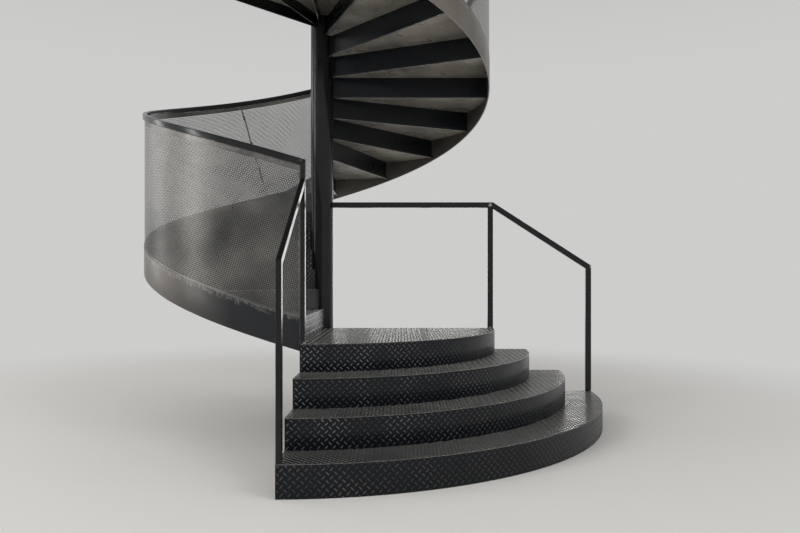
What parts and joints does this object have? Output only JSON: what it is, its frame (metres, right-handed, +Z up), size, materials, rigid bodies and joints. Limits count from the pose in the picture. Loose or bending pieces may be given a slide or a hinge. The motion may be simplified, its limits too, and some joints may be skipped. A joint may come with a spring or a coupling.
{
  "type": "spiral staircase with curved bottom flight",
  "caption": "Black steel spiral stair: curved lower steps, wound upper flight on a round column, helical plate stringer and perforated balustrade.",
  "frame": {"origin": "centre of the column's base flange, at floor level", "axes": "+Z up along the column; +Y away from the front, so that the open ends of the wide steps lie at +Y 0 and at a small +X; the stair climbs clockwise seen from above"},
  "size_m": [3.647, 3.647, 4.309],
  "materials": {
    "checker_plate": "dark grey paint over raised lozenge checker plate, worn glossy",
    "end_plates": "black satin paint on plain plate",
    "perforated_sheet": "bare dark perforated sheet with a thin clear coat",
    "stringer_steel": "dark satin paint with rolled and ground marks",
    "column_steel": "black satin paint on tube",
    "rail_steel": "black satin paint on rectangular tube"
  },
  "bodies": {
    "root": {"column": "column_steel", "column_base": "column_steel", "column_cap": "column_steel", "step_1_riser": "checker_plate", "step_1_tread": "checker_plate", "step_2_riser": "checker_plate", "step_2_tread": "checker_plate", "step_3_riser": "checker_plate", "step_3_tread": "checker_plate", "landing_riser": "checker_plate", "landing_tread": "checker_plate", "flight_end_left": "end_plates", "flight_end_back": "end_plates", "winder_05": "checker_plate", "winder_06": "checker_plate", "winder_07": "checker_plate", "winder_08": "checker_plate", "winder_09": "checker_plate", "winder_10": "checker_plate", "winder_11": "checker_plate", "winder_12": "checker_plate", "winder_13": "checker_plate", "winder_14": "checker_plate", "winder_15": "checker_plate", "winder_16": "checker_plate", "winder_17": "checker_plate", "winder_18": "checker_plate", "winder_19": "checker_plate", "riser_20": "checker_plate", "platform_plate": "checker_plate", "platform_frame": "stringer_steel", "band_1": "stringer_steel", "band_2": "stringer_steel", "band_3": "stringer_steel", "band_4": "stringer_steel", "sheet_1": "perforated_sheet", "sheet_2": "perforated_sheet", "sheet_3": "perforated_sheet", "sheet_4": "perforated_sheet", "top_rail_1": "rail_steel", "top_rail_2": "rail_steel", "top_rail_3": "rail_steel", "top_rail_4": "rail_steel", "start_post": "rail_steel", "finish_post": "rail_steel", "left_post": "rail_steel", "left_rail": "rail_steel", "right_post": "rail_steel", "right_rail": "rail_steel", "landing_post": "rail_steel", "landing_rail": "rail_steel"}
  },
  "joints": []
}
